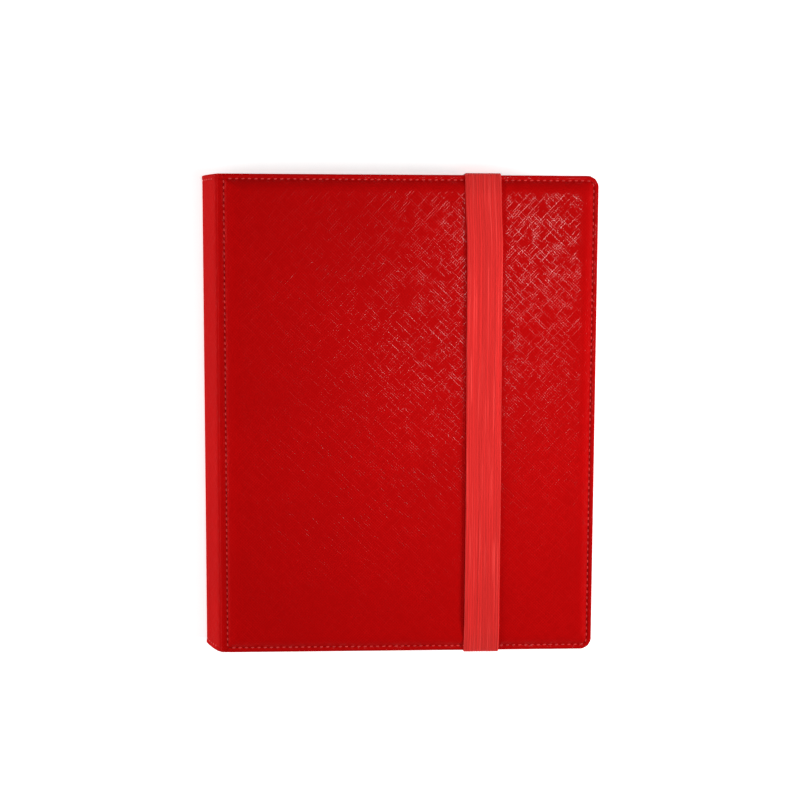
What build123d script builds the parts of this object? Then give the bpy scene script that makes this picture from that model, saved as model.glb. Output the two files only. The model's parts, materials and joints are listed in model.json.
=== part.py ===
"""Trading card binder: padded wrap-round cover, sewn card pages and an elastic closing strap.

The binder lies on its back cover. +Z is up, +X runs from the spine to the fore edge and +Y to
the head of the book. The origin is the middle of the footprint, on the surface it lies on.
"""
import math
import os

from build123d import *

# ---------------------------------------------------------------- driving dimensions, mm
COVER_HEIGHT = 338.0        # head to tail
COVER_WIDTH = 265.0         # crease to fore edge
COVER_CORNER_R = 8.0        # fore-edge corners
SPINE_WIDTH = 32.0          # back crease to front crease
SPINE_LEAN = 23.0           # degrees that the closed spine leans towards the fore edge
BACK_CREASE_X = -138.53     # the back cover's hinge line

LINING_T = 0.5
BOARD_T = 1.8
FOAM_T = 1.9
PAD_HEIGHT = 5.0            # from the lining's face to the padded plateau
HEM_HEIGHT = 1.9            # from the lining's face to the top of the sewn hem
HINGE_HEIGHT = 1.3          # the same, over the flat hinge channel
PIVOT_DEPTH = 0.7           # from the lining's face to the hinge axis
CREASE_GAP = 0.3            # the skins stop this far from a crease
LINING_GAP = 1.5            # the linings stop this far from a crease

PAGE_COUNT = 20
PAGE_PITCH = 1.2
PAGE_CORE_T = 0.25
POCKET_FILM_T = 0.25
PAGE_WIDTH = 240.0          # flex line to the page's outer edge
PAGE_HEIGHT = 300.0
PAGE_MARGIN = 22.0          # flex line to the first pocket
PAGE_EDGE = 3.0             # bare strip outside the pockets
FLEX_GAP = 0.2              # the leaf starts this far from its flex line
TAB_HEIGHT = 4.0            # spine's hinge plane to the flex lines
STACK_CLEARANCE = 1.5       # back lining to the lowest page

STRAP_WIDTH = 25.4
STRAP_T = 1.1
STRAP_FROM_FORE_EDGE = 79.9
STRAP_GAP = 0.3             # strap to the covers' edges
STRAP_TAIL = 6.0            # length held in the back cover's edge seam
STRAP_SHOULDER_LIFT = 0.4   # strap over the front hem
STRAP_CROWN_LIFT = 0.2      # strap over the front plateau
STRAP_CROWN_SHIFT = 0.5     # where the strap levels out, in from the plateau's edge

SEAM_INSET = 3.5            # perimeter stitching to the cover's edge
HINGE_SEAM = 4.0            # hinge stitching to the crease
THREAD_W = 0.8
THREAD_T = 0.3

# ---------------------------------------------------------------- derived places
LEAN = math.radians(SPINE_LEAN)
BACK_FACE_Z = PAD_HEIGHT                                   # back lining's face
BACK_PIVOT_Z = BACK_FACE_Z - PIVOT_DEPTH
FRONT_CREASE_X = BACK_CREASE_X + SPINE_WIDTH * math.sin(LEAN)
FRONT_PIVOT_Z = BACK_PIVOT_Z + SPINE_WIDTH * math.cos(LEAN)
FRONT_FACE_Z = FRONT_PIVOT_Z - PIVOT_DEPTH                 # front lining's face
HALF_H = COVER_HEIGHT / 2

# cover frame: x from the crease to the fore edge, z outward from the lining's face
BACK = Plane(origin=(BACK_CREASE_X, 0, BACK_FACE_Z), x_dir=(1, 0, 0), z_dir=(0, 0, -1))
FRONT = Plane(origin=(FRONT_CREASE_X, 0, FRONT_FACE_Z), x_dir=(1, 0, 0), z_dir=(0, 0, 1))
# spine section: x from the back crease to the front crease, y outward from the hinge plane
SPINE_SECTION = Plane(
    origin=(BACK_CREASE_X, 0, BACK_PIVOT_Z),
    x_dir=(math.sin(LEAN), 0, math.cos(LEAN)),
    z_dir=(0, -1, 0),
)

# board, foam and padding outlines: (hinge-side inset, inset on the other three sides, height)
BOARD_INSET = (6.5, 6.0)
FOAM_FOOT = (8.0, 7.5)
FOAM_TOP = (15.5, 12.5)
PAD_FOOT = (5.4, 4.8)
PAD_SHOULDER = (6.9, 6.2)
PAD_TOP = (15.0, 12.0)
PAD_SHOULDER_HEIGHT = 3.2
LINING_INSET = (LINING_GAP, 1.2)
MIN_CORNER_R = 1.5

# spine section, from the hinge plane outward
SPINE_LINING = (-PIVOT_DEPTH, LINING_T - PIVOT_DEPTH)
SPINE_BOARD_T = 1.5
SPINE_BOARD_OUT = SPINE_LINING[1] + SPINE_BOARD_T
SPINE_BOARD_INSET = 2.0
SPINE_EDGE_OUT = 0.6
SPINE_BULGE_OUT = 2.7

# page binding
STUB_HEIGHT = 2.0
BINDING_LENGTH = 296.0
SEWING_HOLES = 6
SEWING_PITCH = 52.0
SEWING_SIZE = 0.8
THREAD_END = 0.6            # binding thread past the outermost tabs


def write(part, name):
    """Label a finished piece and write it as its own STEP file."""
    part.label = name
    export_step(part, f"parts/{name}.step")


def outline(plane, height, insets):
    """Cover outline at a height: square at the hinge, rounded at the fore-edge corners."""
    hinge_inset, edge_inset = insets
    width = COVER_WIDTH - hinge_inset - edge_inset
    radius = max(COVER_CORNER_R - edge_inset, MIN_CORNER_R)
    with BuildSketch(plane.offset(height)) as sketch:
        with Locations(((COVER_WIDTH + hinge_inset - edge_inset) / 2, 0)):
            Rectangle(width, COVER_HEIGHT - 2 * edge_inset)
        fillet(sketch.vertices().group_by(Axis.X)[-1], radius=radius)
    return sketch.sketch


def make_lining(plane):
    with BuildPart() as lining:
        extrude(outline(plane, 0, LINING_INSET), amount=LINING_T, dir=plane.z_dir)
    return lining.part


def make_board(plane):
    with BuildPart() as board:
        extrude(outline(plane, LINING_T, BOARD_INSET), amount=BOARD_T, dir=plane.z_dir)
    return board.part


def make_foam(plane):
    foot = LINING_T + BOARD_T
    with BuildPart() as foam:
        loft([outline(plane, foot, FOAM_FOOT), outline(plane, foot + FOAM_T, FOAM_TOP)], ruled=True)
    return foam.part


def make_strap_tails():
    """The strap's two ends, held between skin and lining at the back cover's edges."""
    x = FRONT_CREASE_X + COVER_WIDTH - STRAP_FROM_FORE_EDGE
    z = BACK_FACE_Z - LINING_T - STRAP_T
    outer = HALF_H + STRAP_GAP
    with BuildPart() as tails:
        with BuildSketch(Plane.XY.offset(z)):
            for side in (1, -1):
                with Locations((x, side * (outer - STRAP_TAIL / 2))):
                    Rectangle(STRAP_WIDTH, STRAP_TAIL)
        extrude(amount=STRAP_T)
    return tails.part


def make_skin(plane, pockets=None):
    """One closed leathercloth skin: flat hinge channel, sewn hem and the padded panel."""
    hinge_edge = (CREASE_GAP, 0)
    with BuildPart() as skin:
        extrude(outline(plane, LINING_T, hinge_edge), amount=HINGE_HEIGHT - LINING_T, dir=plane.z_dir)
        extrude(
            outline(plane, HINGE_HEIGHT, (PAD_FOOT[0], 0)),
            amount=HEM_HEIGHT - HINGE_HEIGHT,
            dir=plane.z_dir,
        )
        loft(
            [outline(plane, HEM_HEIGHT, PAD_FOOT), outline(plane, PAD_SHOULDER_HEIGHT, PAD_SHOULDER)],
            ruled=True,
        )
        loft(
            [
                outline(plane, PAD_SHOULDER_HEIGHT, PAD_SHOULDER),
                outline(plane, PAD_HEIGHT, PAD_TOP),
            ],
            ruled=True,
        )
        add(make_board(plane), mode=Mode.SUBTRACT)
        add(make_foam(plane), mode=Mode.SUBTRACT)
        if pockets is not None:
            add(pockets, mode=Mode.SUBTRACT)
    return skin.part


def make_seam_thread(plane):
    """The edge seam round three sides, joined by the hinge seam down the fourth."""
    edge = SEAM_INSET - THREAD_W / 2
    hinge = HINGE_SEAM - THREAD_W / 2
    with BuildPart() as thread:
        extrude(outline(plane, HEM_HEIGHT, (PAD_FOOT[0], edge)), amount=THREAD_T, dir=plane.z_dir)
        extrude(
            outline(plane, HEM_HEIGHT, (0, edge + THREAD_W)),
            amount=THREAD_T,
            dir=plane.z_dir,
            mode=Mode.SUBTRACT,
        )
        with BuildSketch(plane.offset(HINGE_HEIGHT)):
            with Locations((hinge + THREAD_W / 2, 0)):
                Rectangle(THREAD_W, COVER_HEIGHT - 2 * edge)
        extrude(amount=THREAD_T)
    return thread.part


# ---------------------------------------------------------------- covers
os.makedirs("parts", exist_ok=True)

write(make_strap_tails(), "strap_tails")

for prefix, plane, pockets in (("back", BACK, make_strap_tails()), ("front", FRONT, None)):
    write(make_lining(plane), f"{prefix}_lining")
    write(make_board(plane), f"{prefix}_board")
    write(make_foam(plane), f"{prefix}_foam")
    write(make_skin(plane, pockets), f"{prefix}_skin")
    write(make_seam_thread(plane), f"{prefix}_seam_thread")

# ---------------------------------------------------------------- spine
with BuildPart() as spine_lining:
    with BuildSketch(SPINE_SECTION):
        with Locations((SPINE_WIDTH / 2, sum(SPINE_LINING) / 2)):
            Rectangle(SPINE_WIDTH - 2 * LINING_GAP, LINING_T)
    extrude(amount=HALF_H - LINING_INSET[1], both=True)
write(spine_lining.part, "spine_lining")

with BuildPart() as spine_board:
    with BuildSketch(SPINE_SECTION):
        with Locations((SPINE_WIDTH / 2, (SPINE_LINING[1] + SPINE_BOARD_OUT) / 2)):
            Rectangle(SPINE_WIDTH - 2 * SPINE_BOARD_INSET, SPINE_BOARD_OUT - SPINE_LINING[1])
    extrude(amount=HALF_H - BOARD_INSET[1], both=True)
write(spine_board.part, "spine_board")

with BuildPart() as spine_skin:
    with BuildSketch(SPINE_SECTION):
        with BuildLine():
            inner = SPINE_LINING[1]
            left = CREASE_GAP
            right = SPINE_WIDTH - CREASE_GAP
            Polyline((left, SPINE_EDGE_OUT), (left, inner), (right, inner), (right, SPINE_EDGE_OUT))
            ThreePointArc(
                (right, SPINE_EDGE_OUT), (SPINE_WIDTH / 2, SPINE_BULGE_OUT), (left, SPINE_EDGE_OUT)
            )
        make_face()
    extrude(amount=HALF_H, both=True)
    add(spine_board.part, mode=Mode.SUBTRACT)
write(spine_skin.part, "spine_skin")

# two short rows of stitches hold the spine's hems, one at the head and one at the tail
with BuildPart() as spine_seam_thread:
    with BuildSketch(SPINE_SECTION):
        with Locations((SPINE_WIDTH / 2, SPINE_LINING[0] - THREAD_T / 2)):
            Rectangle(SPINE_WIDTH - 4 * LINING_GAP, THREAD_T)
    extrude(amount=HALF_H - SEAM_INSET + THREAD_W / 2, both=True)
    with BuildSketch(SPINE_SECTION):
        with Locations((SPINE_WIDTH / 2, SPINE_LINING[0] - THREAD_T / 2)):
            Rectangle(SPINE_WIDTH, THREAD_T)
    extrude(amount=HALF_H - SEAM_INSET - THREAD_W / 2, both=True, mode=Mode.SUBTRACT)
write(spine_seam_thread.part, "spine_seam_thread")


# ---------------------------------------------------------------- pages
def page_height(index):
    """Height of a closed page's middle plane, counted from 0 at the back cover."""
    lowest = BACK_FACE_Z + STACK_CLEARANCE + PAGE_CORE_T / 2 + POCKET_FILM_T
    return lowest + index * PAGE_PITCH


def tab_place(index):
    """Distance of a page's tab from the back crease, along the spine."""
    rise = page_height(index) - BACK_PIVOT_Z + TAB_HEIGHT * math.sin(LEAN)
    return rise / math.cos(LEAN)


def flex_x(index):
    """Where the page's flex line lies, at the outer end of its tab."""
    return BACK_CREASE_X + tab_place(index) * math.sin(LEAN) + TAB_HEIGHT * math.cos(LEAN)


def sewing_holes(first, last, height):
    """Square holes for the binding thread, through the whole stack of tabs and spacers."""
    with BuildPart() as holes:
        with BuildSketch(SPINE_SECTION):
            with Locations(((first + last) / 2, height)):
                Rectangle(last - first, SEWING_SIZE)
        extrude(amount=SEWING_SIZE / 2, both=True)
    pitch = [(index - (SEWING_HOLES - 1) / 2) * SEWING_PITCH for index in range(SEWING_HOLES)]
    return [holes.part.moved(Location((0, y, 0))) for y in pitch]


first_tab = tab_place(0)
last_tab = tab_place(PAGE_COUNT - 1)
sewing_height = -(PIVOT_DEPTH + STUB_HEIGHT / 2)
threads = sewing_holes(first_tab - THREAD_END, last_tab + THREAD_END, sewing_height)

with BuildPart() as page_tabs:
    tab_length = TAB_HEIGHT - PIVOT_DEPTH - FLEX_GAP
    with BuildSketch(SPINE_SECTION):
        for index in range(PAGE_COUNT):
            with Locations((tab_place(index), -PIVOT_DEPTH - tab_length / 2)):
                Rectangle(PAGE_CORE_T, tab_length)
    extrude(amount=PAGE_HEIGHT / 2, both=True)
    add(threads, mode=Mode.SUBTRACT)
write(page_tabs.part, "page_tabs")

with BuildPart() as binding_spacers:
    spacer_t = tab_place(1) - tab_place(0) - PAGE_CORE_T
    with BuildSketch(SPINE_SECTION):
        for index in range(PAGE_COUNT - 1):
            middle = (tab_place(index) + tab_place(index + 1)) / 2
            with Locations((middle, -PIVOT_DEPTH - STUB_HEIGHT / 2)):
                Rectangle(spacer_t, STUB_HEIGHT)
    extrude(amount=BINDING_LENGTH / 2, both=True)
    add(threads, mode=Mode.SUBTRACT)
write(binding_spacers.part, "binding_spacers")

with BuildPart() as binding_thread:
    add(threads)
write(binding_thread.part, "binding_thread")

for index in range(PAGE_COUNT):
    start = flex_x(index)
    height = page_height(index)
    pocket_width = PAGE_WIDTH - PAGE_MARGIN - PAGE_EDGE
    pocket_height = PAGE_HEIGHT - 2 * PAGE_EDGE

    with BuildPart() as page:
        with BuildSketch(Plane.XY.offset(height - PAGE_CORE_T / 2)):
            with Locations((start + (FLEX_GAP + PAGE_WIDTH) / 2, 0)):
                Rectangle(PAGE_WIDTH - FLEX_GAP, PAGE_HEIGHT)
        extrude(amount=PAGE_CORE_T)
    write(page.part, f"page_{index + 1:02d}")

    # nine side-loading card pockets a side, welded in one film on each face of the page
    with BuildPart() as pockets:
        for face in (height - PAGE_CORE_T / 2 - POCKET_FILM_T, height + PAGE_CORE_T / 2):
            with BuildSketch(Plane.XY.offset(face)):
                with Locations((start + PAGE_MARGIN + pocket_width / 2, 0)):
                    Rectangle(pocket_width, pocket_height)
            extrude(amount=POCKET_FILM_T)
    write(pockets.part, f"pockets_{index + 1:02d}")

# ---------------------------------------------------------------- elastic strap
strap_x = FRONT_CREASE_X + COVER_WIDTH - STRAP_FROM_FORE_EDGE
side_y = HALF_H + STRAP_GAP
tail_z = BACK_FACE_Z - LINING_T - STRAP_T
shoulder_z = FRONT_FACE_Z + HEM_HEIGHT + STRAP_SHOULDER_LIFT
crown_y = HALF_H - PAD_TOP[1] - STRAP_CROWN_SHIFT
crown_z = FRONT_FACE_Z + PAD_HEIGHT + STRAP_CROWN_LIFT
shoulder_turn = math.atan2(crown_z - shoulder_z, side_y - crown_y)
miter = STRAP_T * math.tan(math.pi / 4 - shoulder_turn / 2)

with BuildPart() as elastic_strap:
    with BuildSketch(Plane.YZ.offset(strap_x)):
        with BuildLine():
            Polyline(
                (side_y, tail_z),
                (side_y, shoulder_z),
                (crown_y, crown_z),
                (-crown_y, crown_z),
                (-side_y, shoulder_z),
                (-side_y, tail_z),
                (-side_y - STRAP_T, tail_z),
                (-side_y - STRAP_T, shoulder_z + miter),
                (-crown_y, crown_z + STRAP_T),
                (crown_y, crown_z + STRAP_T),
                (side_y + STRAP_T, shoulder_z + miter),
                (side_y + STRAP_T, tail_z),
                close=True,
            )
        make_face()
    extrude(amount=STRAP_WIDTH / 2, both=True)
write(elastic_strap.part, "elastic_strap")
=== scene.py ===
"""Looks of the trading card binder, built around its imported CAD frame. Lengths are in mm where not in m."""
import json
import math

import bpy
import numpy as np
from mathutils import Matrix, Vector

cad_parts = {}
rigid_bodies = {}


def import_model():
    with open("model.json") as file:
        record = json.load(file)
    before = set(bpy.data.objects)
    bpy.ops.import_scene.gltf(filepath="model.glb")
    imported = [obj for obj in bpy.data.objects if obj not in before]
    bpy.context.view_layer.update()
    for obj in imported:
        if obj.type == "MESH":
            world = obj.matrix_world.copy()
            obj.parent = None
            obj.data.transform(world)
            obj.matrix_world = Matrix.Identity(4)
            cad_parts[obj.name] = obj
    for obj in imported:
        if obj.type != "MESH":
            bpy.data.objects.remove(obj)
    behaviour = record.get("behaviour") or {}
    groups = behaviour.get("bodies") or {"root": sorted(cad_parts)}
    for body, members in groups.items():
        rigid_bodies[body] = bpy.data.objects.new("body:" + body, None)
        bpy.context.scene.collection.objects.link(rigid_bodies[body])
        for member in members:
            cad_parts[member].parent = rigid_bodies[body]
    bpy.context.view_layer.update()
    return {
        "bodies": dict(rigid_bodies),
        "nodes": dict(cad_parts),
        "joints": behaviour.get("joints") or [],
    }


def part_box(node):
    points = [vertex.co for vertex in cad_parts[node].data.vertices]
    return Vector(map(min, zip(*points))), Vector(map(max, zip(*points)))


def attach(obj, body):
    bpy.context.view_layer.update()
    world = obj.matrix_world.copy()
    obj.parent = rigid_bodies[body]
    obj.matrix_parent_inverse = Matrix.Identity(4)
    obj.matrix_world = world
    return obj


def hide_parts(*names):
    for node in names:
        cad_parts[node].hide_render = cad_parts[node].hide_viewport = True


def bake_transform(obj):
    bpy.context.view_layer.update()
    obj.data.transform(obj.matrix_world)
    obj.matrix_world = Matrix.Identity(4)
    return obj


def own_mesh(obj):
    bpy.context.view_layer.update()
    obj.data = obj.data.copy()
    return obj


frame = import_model()

MM = 0.001
JOINTS = {j["name"]: j for j in frame["joints"]}


def node_box(node):
    """Lowest and highest corner of a CAD node, in mm."""
    low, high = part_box(node)
    return np.array(low) / MM, np.array(high) / MM


def joint_place(name):
    """A joint's place in the spine's cross-section: x and z, in mm."""
    x, _, z = JOINTS[name]["pos_m"]
    return np.array((x, z)) / MM


# -------- places taken from the frame
BACK_PIVOT = joint_place("spine_hinge")
FRONT_PIVOT = joint_place("front_hinge")
SKIN_HIGH = node_box("front_skin")[1]
LINING_Z = node_box("front_lining")[0][2]  # the front lining's inner face
STRAP_LOW, STRAP_HIGH = node_box("elastic_strap")
TAIL_LOW, TAIL_HIGH = node_box("strap_tails")

HALF_H = SKIN_HIGH[1]
COVER_W = SKIN_HIGH[0] - FRONT_PIVOT[0]
PIVOT_DEPTH = FRONT_PIVOT[1] - LINING_Z
PAD = SKIN_HIGH[2] - LINING_Z
SPINE_VECTOR = FRONT_PIVOT - BACK_PIVOT
SPINE_W = float(np.linalg.norm(SPINE_VECTOR))
SPINE_DIR = SPINE_VECTOR / SPINE_W
SPINE_OUT = np.array((-SPINE_DIR[1], SPINE_DIR[0]))
STRAP_X = (STRAP_LOW[0] + STRAP_HIGH[0]) / 2
STRAP_ACROSS = STRAP_X - FRONT_PIVOT[0]
STRAP_W = STRAP_HIGH[0] - STRAP_LOW[0]
STRAP_T = TAIL_HIGH[2] - TAIL_LOW[2]
PAGES = sorted(n for n in frame["bodies"] if n.startswith("page_"))

# -------- shape of the sewn covers
CORNER_R = 8.0
PAD_CORNER_R = CORNER_R + 7  # the padding's corners are rounder than the cover's
HEM = 1.88  # lining's face to the top of the hem
CHANNEL = 1.42  # lining's face to the top of the hinge channel
UNDER = 0.05  # lining's face to the hem's turned-under side
CREASE = 0.25  # hinge axis to the skin at the bottom of the crease
HEM_BULGE = 0.10  # the hem's fold stands up this much outside the seam
EDGE_SLOPE = (4.3, 9.0, 2.6)  # the padding's slope: where it starts, its width, how full its curve is
HINGE_SLOPE = (4.8, 12.5, 2.4)
TAIL_DROP = 0.30  # the padding is this much lower along the edges of its tail half

SEAM = 3.5  # edge seam to the cover's edge
HINGE_SEAM = 4.0  # hinge seam to the crease
SEAM_DEPTH = 0.42  # how far the edge seam pulls the cloth in
HINGE_SEAM_DEPTH = 0.40
SPINE_SEAM_DEPTH = 0.40
PUCKER = 0.10  # height of the puckers beside the stitches
STITCH_PITCH = 4.45
HINGE_PITCH = 4.15

WAVES = 7  # low waves in the foam and board under the cloth
WAVE_LENGTHS = (55, 150)
WAVE_RATIO = 900  # a wave's length over its height
FRONT_SEED, BACK_SEED = 3, 8

STRAP_DENT = 0.25  # how deep the strap presses into the padding
EDGE_DENT = 0.30  # and how much deeper near the head and tail edges

SPINE_SLOPE = (0.4, 5, 3)
SPINE_BOARD = 1.45  # how far the spine's board stands out
SPINE_ROUND = 0.95  # and how far its middle, by its roundness
SPINE_FLARE = 0.55  # and its head and tail hems


def smooth(t):
    """Smooth step from 0 to 1."""
    t = np.clip(t, 0.0, 1.0)
    return t * t * (3 - 2 * t)


def step(value, start, width):
    """Smooth step from 0 to 1 that begins at a start and takes a width."""
    return smooth((value - start) / width)


def bell(x, middle, width):
    """Round bump of height 1."""
    return np.exp(-(((x - middle) / width) ** 2))


def risen(distance, slope):
    """How far the padding has risen at a distance from a sewn edge: 0 on the hem, 1 on the flat."""
    start, width, fullness = slope
    return 1 - (1 - np.clip((distance - start) / width, 0, 1)) ** fullness


def waves(across, along, seed):
    """Slight unevenness of the foam and board under the cloth."""
    rng = np.random.default_rng(seed)
    total = np.zeros(np.broadcast(across, along).shape)
    for _ in range(WAVES):
        turn = rng.uniform(0, math.pi)
        length = rng.uniform(*WAVE_LENGTHS)
        shift = rng.uniform(0, 2 * math.pi)
        ramp = (across * math.cos(turn) + along * math.sin(turn)) * 2 * math.pi / length
        total = total + np.sin(ramp + shift) * length / WAVE_RATIO
    return total / WAVES


def soft_inset(across, along, inset):
    """The inset from the cover's edge, which further in follows the padding's rounder outline."""
    reach_x = np.maximum(0, across - (COVER_W - PAD_CORNER_R))
    reach_y = np.maximum(0, np.abs(along) - (HALF_H - PAD_CORNER_R))
    rounded = PAD_CORNER_R - np.hypot(reach_x, reach_y)
    return inset + (rounded - inset) * step(inset, 4, 7)


def sewn_in(across, along, inset):
    """What the seams do to the surface: a groove along each one, and puckers beside it."""
    pucker = PUCKER * np.cos(2 * math.pi * along / STITCH_PITCH)
    pucker_x = PUCKER * np.cos(2 * math.pi * across / STITCH_PITCH)
    beside_edge = np.where(np.abs(along) > HALF_H - 9, pucker_x, pucker)
    change = beside_edge * bell(inset, SEAM + 1.1, 1.0) * step(across, 6, 3)
    change = change - SEAM_DEPTH * bell(inset, SEAM, 0.5)
    change = change - HINGE_SEAM_DEPTH * bell(across, HINGE_SEAM, 0.55)
    return change + pucker * 0.6 * bell(across, HINGE_SEAM + 1.3, 0.9)


def strap_dent(across, inset):
    """How deep the strap presses the padding in."""
    beside = np.abs(across - STRAP_ACROSS) - STRAP_W / 2
    near_edge = 1 - step(inset, 4, 16)
    return (1 - step(beside, -0.6, 2.4)) * (STRAP_DENT + EDGE_DENT * near_edge)


def top_height(across, along, inset, front):
    """Outer surface over the lining's face, for a place on the cover."""
    inset = soft_inset(across, along, inset)
    below_edge = 1 - risen(inset, EDGE_SLOPE)
    below_hinge = 1 - risen(across, HINGE_SLOPE)
    rise = np.clip(1 - (below_edge ** 4 + below_hinge ** 4) ** 0.25, 0, 1)
    base = CHANNEL + (HEM - CHANNEL) * step(across, 3.9, 2.2)
    base = base + HEM_BULGE * bell(inset, 1.7, 0.8)
    height = base + (PAD - base) * rise
    height = height + rise * waves(across, along, FRONT_SEED if front else BACK_SEED)
    height = height - TAIL_DROP * rise * (1 - step(inset, 8, 26)) * step(-along, 0, 40)
    height = height + sewn_in(across, along, inset)
    ridge = CREASE + PIVOT_DEPTH
    height = ridge + (height - ridge) * step(across, -0.1, 1.5)
    if front:
        height = height - rise * strap_dent(across, inset)
    return height


def spine_height(along_spine, along):
    """Outer surface over the hinge plane, for a place on the spine."""
    board = SPINE_BOARD * risen(along_spine, SPINE_SLOPE)
    bulge = SPINE_ROUND * np.sin(np.clip(along_spine / (SPINE_W / 2), 0, 1) * math.pi / 2)
    inset = HALF_H - np.abs(along)
    flare = SPINE_FLARE * (1 - step(inset, 0.5, 6)) * step(along_spine, 1.5, 3)
    seam = SPINE_SEAM_DEPTH * bell(inset, SEAM, 0.6) * step(along_spine, 1.5, 2)
    return CREASE + board + bulge + flare - seam


# -------- mesh helpers
def add_object(name, data):
    """An object in the scene for a mesh, light or camera."""
    made = bpy.data.objects.new(name, data)
    bpy.context.scene.collection.objects.link(made)
    return made


def make_mesh(name, points, faces, material, surface=None):
    """A smooth-shaded object from points in mm; surface is each point's place on the flat cloth, in mm."""
    mesh = bpy.data.meshes.new(name)
    mesh.from_pydata((np.asarray(points) * MM).tolist(), [], faces)
    if surface is not None:
        attribute = mesh.attributes.new("surface_mm", "FLOAT_VECTOR", "POINT")
        attribute.data.foreach_set("vector", np.asarray(surface, np.float32).ravel())
    mesh.materials.append(material)
    mesh.validate()
    mesh.shade_smooth()
    return add_object(name, mesh)


def grid_faces(rows, columns, flip=False, start=0):
    """Quads of a grid of points stored row by row."""
    faces = []
    for i in range(rows - 1):
        for j in range(columns - 1):
            here, after = start + i * columns + j, start + (i + 1) * columns + j
            quad = (here, after, after + 1, here + 1)
            faces.append(quad[::-1] if flip else quad)
    return faces


def tube_faces(stations, around, flip=False):
    """Faces of a closed tube whose points are stored ring by ring, and its two ends."""
    faces = []
    for i in range(stations - 1):
        for k in range(around):
            here, there, after = i * around, (i + 1) * around, (k + 1) % around
            quad = (here + k, there + k, there + after, here + after)
            faces.append((quad[0], *quad[:0:-1]) if flip else quad)
    first_end = tuple(range(around))
    last_end = tuple((stations - 1) * around + k for k in reversed(range(around)))
    return faces + ([first_end[::-1], last_end[::-1]] if flip else [first_end, last_end])


def spread(first, last, pitch):
    """Evenly spaced values from first to last, about a pitch apart."""
    return np.linspace(first, last, max(2, int(round(abs(last - first) / pitch)) + 1))


def corner_angle(reach_x, reach_y):
    """Wraps a square corner's mesh lines round an arc: 0 along x, 45 degrees on the diagonal."""
    if reach_x >= reach_y:
        return math.pi / 4 * (reach_y / max(reach_x, 1e-6))
    return math.pi / 2 - math.pi / 4 * (reach_x / reach_y)


# -------- material helpers
class Nodes:
    """Short calls for building the node tree of a material or a world."""

    def __init__(self, owner, shader):
        owner.use_nodes = True
        self.owner = owner
        self.tree = owner.node_tree
        self.shader = self.tree.nodes[shader]

    def node(self, kind, inputs=None, **settings):
        made = self.tree.nodes.new(kind)
        for key, value in settings.items():
            setattr(made, key, value)
        for key, value in (inputs or {}).items():
            self.set(made.inputs[key], value)
        return made

    def set(self, socket, value):
        if isinstance(value, bpy.types.NodeSocket):
            self.tree.links.new(value, socket)
        else:
            socket.default_value = value

    def math(self, operation, *values):
        made = self.node("ShaderNodeMath", operation=operation)
        for socket, value in zip(made.inputs, values):
            self.set(socket, value)
        return made.outputs[0]

    def mix(self, share, first, second):
        made = self.node("ShaderNodeMix", data_type="RGBA")
        self.set(made.inputs["Factor"], share)
        self.set(made.inputs[6], first)
        self.set(made.inputs[7], second)
        return made.outputs[2]

    def spot(self):
        """Where a point is in the row frame, in m."""
        return self.node("ShaderNodeTexCoord").outputs["Object"]

    def place(self, scale=(1, 1, 1), turn=0.0):
        """Where a point is on the flat cloth, in mm, turned and then scaled."""
        source = self.node("ShaderNodeAttribute", attribute_name="surface_mm").outputs["Vector"]
        inputs = {"Vector": source, "Rotation": (0, 0, turn), "Scale": tuple(1 / s for s in scale)}
        return self.node("ShaderNodeMapping", inputs, vector_type="TEXTURE").outputs[0]

    def noise(self, vector, scale=1.0, detail=2.0, roughness=0.5):
        inputs = {"Vector": vector, "Scale": scale, "Detail": detail, "Roughness": roughness}
        return self.node("ShaderNodeTexNoise", inputs).outputs["Fac"]

    def wave(self, vector, scale, direction, **more):
        """Parallel waves, one every 0.314 / scale of the vector's units."""
        inputs = {"Vector": vector, "Scale": scale}
        inputs.update({key.replace("_", " "): value for key, value in more.items()})
        return self.node("ShaderNodeTexWave", inputs, bands_direction=direction).outputs["Fac"]

    def ramp(self, value, low, high, to_low=0.0, to_high=1.0):
        inputs = {"Value": value, "From Min": low, "From Max": high, "To Min": to_low, "To Max": to_high}
        return self.node("ShaderNodeMapRange", inputs, clamp=True).outputs["Result"]

    def bump(self, height, distance_mm, strength=1.0):
        inputs = {"Height": height, "Distance": distance_mm * MM, "Strength": strength}
        return self.node("ShaderNodeBump", inputs).outputs["Normal"]

    def finish(self, **inputs):
        for key, value in inputs.items():
            self.set(self.shader.inputs[key.replace("_", " ")], value)
        return self.owner


def material_nodes(name):
    return Nodes(bpy.data.materials.new(name), "Principled BSDF")


def shade(color, factor):
    """A lighter or darker copy of a colour."""
    return tuple(c * factor for c in color[:3]) + (1.0,)


# -------- materials
GRAIN_TURNS = (math.radians(47), math.radians(-44))
GRAIN_SCALE = 0.205  # grain lines 1.5 mm apart
GRAIN_DEPTH = 0.07
COAT_DEPTH = 0.026  # the shiny coat fills the grain in part
CORD_SCALE = 0.1732  # one cord of the elastic to each rib
WEFT_SCALE = 0.36  # weft threads 0.9 mm apart
LINING_SCALE = 0.62  # lining threads 0.5 mm apart
TWIST_SCALE = 900.0  # turns of the sewing thread 0.35 mm apart


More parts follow.
